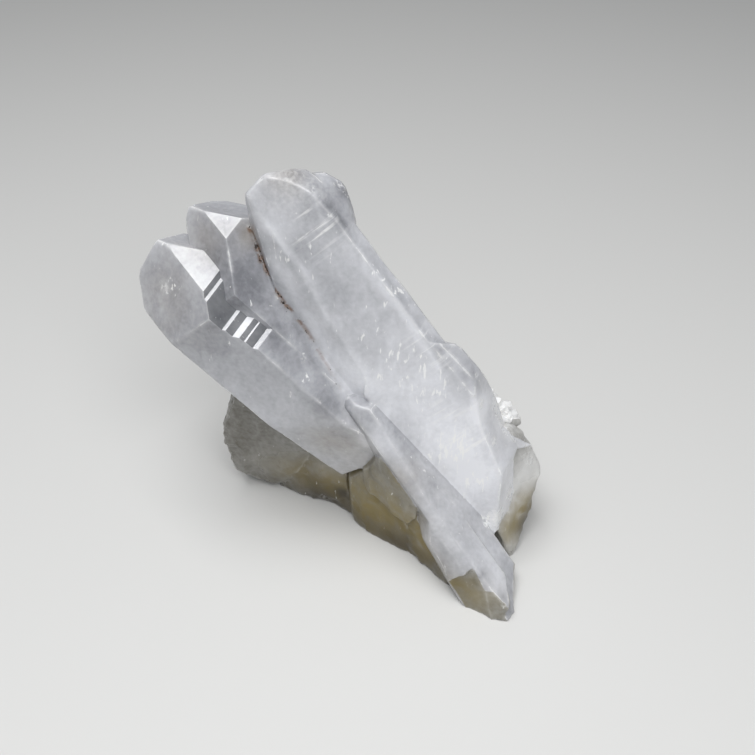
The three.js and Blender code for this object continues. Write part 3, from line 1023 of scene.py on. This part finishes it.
    def _mesh(self, points: Array, skin: Skin, chipped: Array) -> Thing:
        """Make the mesh object, smooth but for its sharp edges, with its marks and finishes.

        Args:
            points: Where the points of the surface now are.
            skin: The surface before its wear.
            chipped: How much each point lies in a chip.

        Returns:
            The object.
        """
        mesh = bpy.data.meshes.new("quartz_surface")
        mesh.from_pydata((points * MM).tolist(), [], skin.triangles.tolist())
        mesh.update()
        mesh.polygons.foreach_set("use_smooth", np.ones(len(mesh.polygons), bool))
        mesh.set_sharp_from_angle(angle=math.radians(self.wear.keen_turn))
        finish = np.array([FINISH_OF.get(kind, 0) for kind in Facing], np.int32)
        mesh.polygons.foreach_set("material_index", finish[skin.facing])
        marks = {"POINT": self._point_marks(skin, chipped), "FACE": self._face_marks(skin.facing)}
        for domain, table in marks.items():
            for name, values in table.items():
                kind, key = self.LAYER_KINDS[values.ndim]
                layer = mesh.attributes.new(name, kind, domain)
                layer.data.foreach_set(key, values.astype(np.float32).ravel())
        return placed(mesh)

    def _point_marks(self, skin: Skin, chipped: Array) -> dict[str, Array]:
        """Work out the marks that the finishes read at the points.

        Args:
            skin: The surface before its wear.
            chipped: How much each point lies in a chip.

        Returns:
            The values of each mark, by name.
        """
        points = skin.points
        loud = limited(1.0 - most_of((*self.crisp, *self.calm), points))
        return {
            # Worn edges, partly a painted highlight along them.
            "edge": skin.near_edge(self.wear.mark_reach) * loud,
            "seam": self.seam.share(points),
            "chip": chipped,
            "stain": limited(sum_of(self.stained, points)),
            # Painted shade: the shade zones and the line along the root's foot.
            "shade": limited(sum_of((*self.shaded, self.ground_shade_line), points)),
            # Milkiness, with painted light and shade from the cloud zones and the ridge lines.
            "milk": sum_of((*self.clouds_and_painted_light, *self.ridge_light, self.smudged), points),
            "sparkle": most_of(self.sparkling, points),
            "pale": limited(sum_of(self.pale_root, points)),
            "bruise": limited(most_of(self.bruised, points)),
            "frost_and_glint": limited(most_of(self.glint_and_frost_zones, points)),
            "lines": limited(most_of(self.lined, points)),
        }

    def _face_marks(self, facing: Array) -> dict[str, Array]:
        """Work out the marks that the finishes read on the triangles.

        Args:
            facing: Kind of face of each triangle.

        Returns:
            The values of each mark, by name.
        """
        habit = np.array([f.habit for f in self.net.facets])[self.net.owner]
        axes = np.array([one.axes()[0] for one in HABITS] + [np.zeros(3)])
        tones = np.array([one.tone for one in HABITS] + [0.0])
        lined = np.isin(facing, [Facing.PRISM.value, Facing.BEVEL.value])
        return {"growth_axis": axes[habit], "family": tones[habit], "lined": lined}


@dataclass
class Sketch:
    """Short way to place and join shader nodes in one tree.

    A value is a socket to link, or a number, vector or colour to set.
    """

    tree: bpy.types.NodeTree

    def add(self, kind: str, values: dict | None = None, **settings: object) -> bpy.types.Node:
        """Place a node.

        Args:
            kind: The node's type name without its leading ShaderNode.
            values: Values for its inputs.
            settings: Its properties.

        Returns:
            The node.
        """
        node = self.tree.nodes.new("ShaderNode" + kind)
        for name, setting in settings.items():
            setattr(node, name, setting)
        for key, value in (values or {}).items():
            if isinstance(value, Socket):
                self.tree.links.new(value, node.inputs[key])
            else:
                node.inputs[key].default_value = value
        return node

    def math(self, operation: str, *values: object, clamp: bool = False) -> Socket:
        """Work with numbers, and keep the result from 0 to 1 where it is clamped."""
        node = self.add("Math", dict(enumerate(values)), operation=operation, use_clamp=clamp)
        return node.outputs[0]

    def plus(self, *values: object) -> Socket:
        """Add numbers."""
        return reduce(lambda first, second: self.math("ADD", first, second), values)

    def times(self, *values: object) -> Socket:
        """Multiply numbers."""
        return reduce(lambda first, second: self.math("MULTIPLY", first, second), values)

    def vector(self, operation: str, *values: object, output: str = "Vector") -> Socket:
        """Work with vectors."""
        node = self.add("VectorMath", dict(enumerate(values)), operation=operation)
        return node.outputs[output]

    def scaled(self, vector: object, factor: object) -> Socket:
        """Multiply a vector by a number."""
        return self.add("VectorMath", {0: vector, "Scale": factor}, operation="SCALE").outputs[0]

    def noise(self, place: object, scale: float, detail: float, distortion: float = 0.0) -> Socket:
        """Soft noise from 0 to 1 at a place in millimetres."""
        values = {"Vector": place, "Scale": scale, "Detail": detail, "Distortion": distortion}
        return self.add("TexNoise", values).outputs["Fac"]

    def ramp(self, value: object, low: float, high: float) -> Socket:
        """Spread the stretch from low to high over 0 to 1, smoothly."""
        values = {"Value": value, "From Min": low, "From Max": high}
        return self.add("MapRange", values, interpolation_type="SMOOTHSTEP").outputs[0]

    def blend(self, share: object, first: object, second: object) -> Socket:
        """Mix two colours."""
        return self.add("Mix", {0: share, 6: first, 7: second}, data_type="RGBA").outputs[2]

    def mark(self, name: str, output: str = "Fac") -> Socket:
        """Read one of the surface's marks."""
        return self.add("Attribute", attribute_name=name).outputs[output]


class Effect:
    """Shader node group that several finishes share, with numbers for all but its vectors.

    In effects and finishes alike, a noise is its scale, detail and distortion, and edges are the
    levels between which a mask goes from 0 to 1.
    """

    VECTORS = ("Place", "Axis")

    def __init__(self, name: str, inputs: tuple[str, ...], outputs: tuple[str, ...]) -> None:
        """Start an empty group.

        Args:
            name: The group's name.
            inputs: The names of its inputs.
            outputs: The names of its outputs.
        """
        self.tree = bpy.data.node_groups.new(name, "ShaderNodeTree")
        for in_out, labels in (("INPUT", inputs), ("OUTPUT", outputs)):
            for label in labels:
                kind = "NodeSocketVector" if label in self.VECTORS else "NodeSocketFloat"
                self.tree.interface.new_socket(label, in_out=in_out, socket_type=kind)
        self.sketch = Sketch(self.tree)
        self.source = self.tree.nodes.new("NodeGroupInput").outputs
        self.result = self.tree.nodes.new("NodeGroupOutput").inputs

    def give(self, name: str, value: Socket) -> None:
        """Link a value to one of the group's outputs."""
        self.tree.links.new(value, self.result[name])

    def place(self, sketch: Sketch, values: dict[str, object]) -> bpy.types.bpy_prop_collection:
        """Place the group in a material with its own values, and pass its outputs."""
        return sketch.add("Group", values, node_tree=self.tree).outputs


class GrowthLines(Effect):
    """Fine lines across the growth axis of a prism face."""

    WANDER = 0.06
    FINE = (1.0, 4.0)
    FINE_SHARE = 0.5
    FINE_EDGES = (0.51, 0.61)
    BROAD = (1.0, 2.0)
    BROAD_SIZE = 0.23
    BROAD_EDGES = (0.34, 0.48)

    def __init__(self) -> None:
        """Build the group."""
        inputs = ("Place", "Axis", "Lined", "Spacing")
        super().__init__("Growth lines", inputs, ("Height", "Lines"))
        s = self.sketch
        place, axis, lined, spacing = (self.source[name] for name in inputs)
        along = s.vector("DOT_PRODUCT", place, axis, output="Value")
        stretch = s.scaled(axis, s.math("DIVIDE", along, spacing))
        spot = s.vector("ADD", stretch, s.scaled(place, self.WANDER))
        fine = s.noise(spot, *self.FINE)
        broad = s.noise(s.scaled(spot, self.BROAD_SIZE), *self.BROAD)
        self.give("Height", s.times(s.plus(s.times(fine, self.FINE_SHARE), broad), lined))
        bands = s.ramp(broad, *self.BROAD_EDGES)
        self.give("Lines", s.times(s.ramp(fine, *self.FINE_EDGES), bands, lined))


class Veils(Effect):
    """Milky clouds and small bright flecks inside the quartz."""

    CLOUD = (0.08, 4.0, 0.6)
    WISP = (1.0, 5.0, 1.0)
    WISP_SHAPE = (0.34, 0.34, 0.16)
    FINE = (1.1, 4.0, 0.3)
    SHARES = (0.42, 0.32, 0.26)
    SWING = 1.08
    STREAK = (1.0, 4.0, 0.5)
    STREAK_SHAPE = (1.5, 1.3, 0.34)
    PATCH = (0.45, 3.0)
    PATCH_SHARE = 0.4
    SPARKLE_SHARE = 0.16
    FLECK_EDGES = (0.9, 0.99)

    def __init__(self) -> None:
        """Build the group."""
        inputs = ("Place", "Milk", "Sparkle")
        super().__init__("Veils", inputs, ("Cloud", "Fleck"))
        s = self.sketch
        place, milk, sparkle = (self.source[name] for name in inputs)
        cloud = s.noise(place, *self.CLOUD)
        wisp = s.noise(s.vector("MULTIPLY", place, self.WISP_SHAPE), *self.WISP)
        fine = s.noise(place, *self.FINE)
        mixed = s.plus(*(s.times(*pair) for pair in zip((cloud, wisp, fine), self.SHARES)))
        swing = s.times(s.math("SUBTRACT", mixed, 0.5), self.SWING)
        self.give("Cloud", s.math("ADD", swing, milk, clamp=True))
        streak = s.noise(s.vector("MULTIPLY", place, self.STREAK_SHAPE), *self.STREAK)
        patch = s.times(s.noise(place, *self.PATCH), self.PATCH_SHARE)
        level = s.plus(streak, patch, s.times(sparkle, self.SPARKLE_SHARE))
        self.give("Fleck", s.ramp(level, *self.FLECK_EDGES))


class Grime(Effect):
    """Rusty and black specks held along a seam."""

    SPECK = (1.5, 3.0)
    SPECK_EDGES = (0.76, 0.82)
    SEAM_SHARE = 0.26
    SEAM_EDGES = (0.15, 0.35)
    RUST = (0.5, 3.0)
    RUST_EDGES = (0.42, 0.6)
    RUST_SEAM_EDGES = (0.15, 0.9)

    def __init__(self) -> None:
        """Build the group."""
        inputs = ("Place", "Seam")
        super().__init__("Grime", inputs, ("Speck", "Rust"))
        s = self.sketch
        place, seam = (self.source[name] for name in inputs)
        level = s.plus(s.noise(place, *self.SPECK), s.times(seam, self.SEAM_SHARE))
        held = s.ramp(seam, *self.SEAM_EDGES)
        self.give("Speck", s.times(s.ramp(level, *self.SPECK_EDGES), held))
        rust = s.ramp(s.noise(place, *self.RUST), *self.RUST_EDGES)
        self.give("Rust", s.times(rust, s.ramp(seam, *self.RUST_SEAM_EDGES)))


@dataclass(frozen=True)
class QuartzFinish:
    """Milky quartz: its colours, how see-through it is, and its gloss."""

    name: str
    clear: Triple
    milk: Triple
    stain: Triple
    stain_level: float
    cloudiness: float
    roughness: float
    transmission: float
    scatter: float
    pits: float
    # How white the edges are: wear, and partly a painted highlight.
    edge_wear_and_highlight: float = 1.0

    WHITE = (0.93, 0.93, 0.92, 1.0)
    SPECK = (0.035, 0.025, 0.02, 1.0)
    RUST = (0.20, 0.10, 0.045, 1.0)
    PAINTED_SHADE_COLOUR = (0.03, 0.024, 0.018, 1.0)
    SHADE_SHARE = 0.85
    FLECK_SHARE = 0.75
    LAYER_SHARE = 0.8
    PATCH = (0.3, 4.0, 0.5)
    PATCH_EDGES = (0.2, 0.6)
    PATCH_LEAST = 0.5
    STROKE = (0.35, 3.0)
    STROKE_EDGES = (0.36, 0.54)
    BRUISE_ROUGHNESS = 0.35
    STAIN_ROUGHNESS = 0.15
    RAGGED = (1.5, 4.0)
    WORN = (0.3, 4.0)
    WORN_EDGES = (0.42, 0.62)
    WORN_SHARE = 0.6
    RIM_LEAST = 0.13
    TOP_SHARE = 0.22
    CHIP_EDGES = (0.4, 0.7)
    CHIP_SHARE = 0.6
    FROST_EDGES = (0.3, 0.6)
    FROST_LEAST = 0.4
    FROST_SHARE = 0.7
    LINE_SPACING = 0.75
    LINE_HEIGHT = 0.02
    PIT = (3.0, 3.0)
    PIT_HEIGHT = 0.12
    BRUISE_PITS = 0.8
    SCATTER_TINT = (1.0, 0.97, 0.93)
    SCATTER_DEPTH = 3.0
    QUARTZ_IOR = 1.544

    def material(self, lines: GrowthLines, veils: Veils, grime: Grime) -> bpy.types.Material:
        """Build the material.

        Args:
            lines: The growth lines.
            veils: The milky clouds.
            grime: The specks along the seam.

        Returns:
            The material.
        """
        made = bpy.data.materials.new(self.name)
        made.use_nodes = True
        made.node_tree.nodes.clear()
        s = Sketch(made.node_tree)
        place = s.scaled(s.add("TexCoord").outputs["Object"], 1.0 / MM)
        growth = lines.place(s, {
            "Place": place, "Axis": s.mark("growth_axis", "Vector"), "Lined": s.mark("lined"),
            "Spacing": self.LINE_SPACING,
        })
        # Milkiness, partly painted light and shade from the cloud zones, the ridge lines and the
        # front family's tone.
        milk = s.plus(s.plus(s.mark("milk"), s.mark("pale")), s.mark("family"), self.cloudiness)
        veil = veils.place(s, {"Place": place, "Milk": milk, "Sparkle": s.mark("sparkle")})
        dirt = grime.place(s, {"Place": place, "Seam": s.mark("seam")})
        # White from bruises and chips, with a painted highlight along the edges and a painted
        # glint.
        bruise = self._bruise_and_highlight(s, place)
        patch = s.ramp(s.noise(place, *self.PATCH), *self.PATCH_EDGES)
        patch = s.plus(s.times(patch, 1.0 - self.PATCH_LEAST), self.PATCH_LEAST)
        patch = s.times(s.mark("stain"), patch, self.stain_level)
        broken = s.ramp(s.noise(place, *self.STROKE), *self.STROKE_EDGES)
        strokes = s.times(growth["Lines"], s.mark("lines"), broken)
        colour = s.blend(veil["Cloud"], (*self.clear, 1.0), (*self.milk, 1.0))
        for share, layer in (
            (patch, (*self.stain, 1.0)),
            # Painted shade: blends towards a near-black colour where the shade mark is.
            (s.times(s.mark("shade"), self.SHADE_SHARE), self.PAINTED_SHADE_COLOUR),
            (s.times(veil["Fleck"], self.FLECK_SHARE), self.WHITE),
            (s.times(strokes, self.LAYER_SHARE), self.WHITE),
            # Painted highlight along the edges and a painted glint, with real bruises, chips and
            # frosting.
            (s.times(bruise, self.LAYER_SHARE), self.WHITE),
            (s.times(dirt["Rust"], self.LAYER_SHARE), self.RUST),
            (dirt["Speck"], self.SPECK),
        ):
            colour = s.blend(share, colour, layer)
        rough = s.plus(s.times(bruise, self.BRUISE_ROUGHNESS), self.roughness)
        stained = s.times(patch, self.STAIN_ROUGHNESS)
        shader = s.add("BsdfPrincipled", {
            "Base Color": colour,
            "Roughness": s.math("ADD", rough, stained, clamp=True),
            "Normal": self._relief(s, place, growth["Height"], bruise),
            "IOR": self.QUARTZ_IOR,
            "Transmission Weight": self.transmission,
            "Subsurface Weight": self.scatter,
            "Subsurface Radius": self.SCATTER_TINT,
            "Subsurface Scale": self.SCATTER_DEPTH * MM,
        })
        s.add("OutputMaterial", {"Surface": shader.outputs[0]})
        return made

    def _bruise_and_highlight(self, s: Sketch, place: Socket) -> Socket:
        """Find where the edges are white: from knocks, partly as a painted highlight along them,
        and a painted glint in the frosting.

        Args:
            s: The material's nodes.
            place: The place in millimetres.

        Returns:
            A mask.
        """
        ragged = s.noise(place, *self.RAGGED)
        # Edge whitening: wear, and partly a painted highlight along the edges.
        worn = s.ramp(s.noise(place, *self.WORN), *self.WORN_EDGES)
        worn = s.plus(s.times(worn, self.WORN_SHARE * self.edge_wear_and_highlight), self.RIM_LEAST * self.edge_wear_and_highlight)
        edge = s.times(s.mark("edge"), worn)
        top = s.times(s.mark("bruise"), s.ramp(ragged, *self.WORN_EDGES), self.TOP_SHARE)
        chip = s.times(s.mark("chip"), s.ramp(ragged, *self.CHIP_EDGES), self.CHIP_SHARE)
        # Frosting, and a painted glint on one facet.
        frost_and_glint = s.plus(s.ramp(ragged, *self.FROST_EDGES), self.FROST_LEAST)
        frost_and_glint = s.times(s.mark("frost_and_glint"), frost_and_glint)
        frost_and_glint = s.math("MULTIPLY", frost_and_glint, self.FROST_SHARE, clamp=True)
        edge = s.math("MAXIMUM", edge, top)
        return s.math("MAXIMUM", edge, s.math("MAXIMUM", chip, frost_and_glint))

    def _relief(self, s: Sketch, place: Socket, height: Socket, bruise: Socket) -> Socket:
        """Raise the growth lines, the pits and the bruised grain.

        Args:
            s: The material's nodes.
            place: The place in millimetres.
            height: The height of the growth lines.
            bruise: The mask of bruised edges.

        Returns:
            The surface's direction.
        """
        lines = s.add("Bump", {"Height": height, "Distance": self.LINE_HEIGHT * MM})
        depth = s.plus(s.times(bruise, self.BRUISE_PITS), self.pits)
        rough = s.times(s.noise(place, *self.PIT), depth)
        values = {"Height": rough, "Distance": self.PIT_HEIGHT * MM, "Normal": lines.outputs[0]}
        return s.add("Bump", values).outputs[0]


FINISHES = (
    QuartzFinish(
        name="Milky crystal", clear=(0.20, 0.205, 0.225), milk=(0.85, 0.86, 0.90),
        stain=(0.42, 0.33, 0.19), stain_level=0.4, cloudiness=0.5,
        roughness=0.16, transmission=0.12, scatter=0.6, pits=0.1,
    ),
    QuartzFinish(
        name="Broken quartz", clear=(0.085, 0.076, 0.052), milk=(0.76, 0.76, 0.75),
        stain=(0.25, 0.19, 0.055), stain_level=1.0, cloudiness=0.16,
        roughness=0.26, transmission=0.1, scatter=0.3, pits=0.35, edge_wear_and_highlight=0.4,
    ),
    QuartzFinish(
        name="Sugary quartz", clear=(0.86, 0.86, 0.84), milk=(0.93, 0.93, 0.92),
        stain=(0.6, 0.55, 0.4), stain_level=0.3, cloudiness=0.5,
        roughness=0.34, transmission=0.0, scatter=0.7, pits=0.3, edge_wear_and_highlight=0.0,
    ),
    QuartzFinish(
        name="Clear crystal", clear=(0.12, 0.125, 0.14), milk=(0.50, 0.51, 0.53),
        stain=(0.3, 0.25, 0.15), stain_level=0.3, cloudiness=0.55,
        roughness=0.08, transmission=0.4, scatter=0.2, pits=0.0, edge_wear_and_highlight=0.4,
    ),
)
FINISH_OF = {Facing.BROKEN: 1, Facing.UNDERSIDE: 1, Facing.SUGARY: 2, Facing.WINDOW: 3}


@dataclass(frozen=True)
class Studio:
    """Plain pale floor, soft light, and the camera where the photograph was taken from.

    A lamp is its name, its place, what it points at, its side and its power in watts.
    """

    view_place: Triple = (5.17, -154.98, 167.13)
    view_target: Triple = (5.17, -9.434, 45.0)
    view_lens: float = 50.07
    view_start: float = 10.0
    floor_span: float = 1600.0
    floor_drop: float = 0.02
    floor_colour: Triple = (0.62, 0.62, 0.61)
    floor_roughness: float = 0.9
    lamps: tuple[tuple[str, Triple, Triple, float, float], ...] = (
        ("Overhead light", (-80.0, -60.0, 480.0), (-10.0, 0.0, 50.0), 250.0, 1.6),
        ("Front light", (80.0, -330.0, 420.0), (0.0, -10.0, 35.0), 300.0, 1.55),
    )
    room_colour: Triple = (0.75, 0.77, 0.8)
    room_strength: float = 0.24

    def build(self) -> None:
        """Make the camera, the floor, the lamps and the even light of the room."""
        data = bpy.data.cameras.new("Camera")
        data.lens = self.view_lens
        data.clip_start = self.view_start * MM
        bpy.context.scene.camera = placed(data, self.view_place, self.view_target)
        self._floor()
        for name, place, target, span, power in self.lamps:
            data = bpy.data.lights.new(name, "AREA")
            data.size = span * MM
            data.energy = power
            placed(data, place, target)
        world = bpy.data.worlds.new("Room")
        world.use_nodes = True
        inputs = world.node_tree.nodes["Background"].inputs
        inputs["Color"].default_value = (*self.room_colour, 1.0)
        inputs["Strength"].default_value = self.room_strength
        bpy.context.scene.world = world

    def _floor(self) -> None:
        """Lay the floor."""
        half = self.floor_span * MM / 2
        corners = [(-half, -half, 0), (half, -half, 0), (half, half, 0), (-half, half, 0)]
        mesh = bpy.data.meshes.new("floor")
        mesh.from_pydata(corners, [], [(0, 1, 2, 3)])
        floor = placed(mesh, (0.0, 0.0, -self.floor_drop))
        made = bpy.data.materials.new("Pale floor")
        made.use_nodes = True
        shader = made.node_tree.nodes["Principled BSDF"]
        shader.inputs["Base Color"].default_value = (*self.floor_colour, 1.0)
        shader.inputs["Roughness"].default_value = self.floor_roughness
        mesh.materials.append(made)


def main() -> None:
    """Build the cluster's surface, its finishes and the studio, in order."""
    logging.basicConfig(level=logging.INFO, format="%(name)s: %(message)s")
    Studio().build()
    surface = ClusterSurface()
    thing = surface.build(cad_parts[NODE_NAME])
    surface.dress(thing)
    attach(thing, BODY_NAME)
    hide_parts(NODE_NAME)
    LOG.info("%s: %d triangles", thing.name, len(thing.data.polygons))
    bpy.context.scene.view_settings.view_transform = "Standard"


if __name__ == "__main__":
    main()
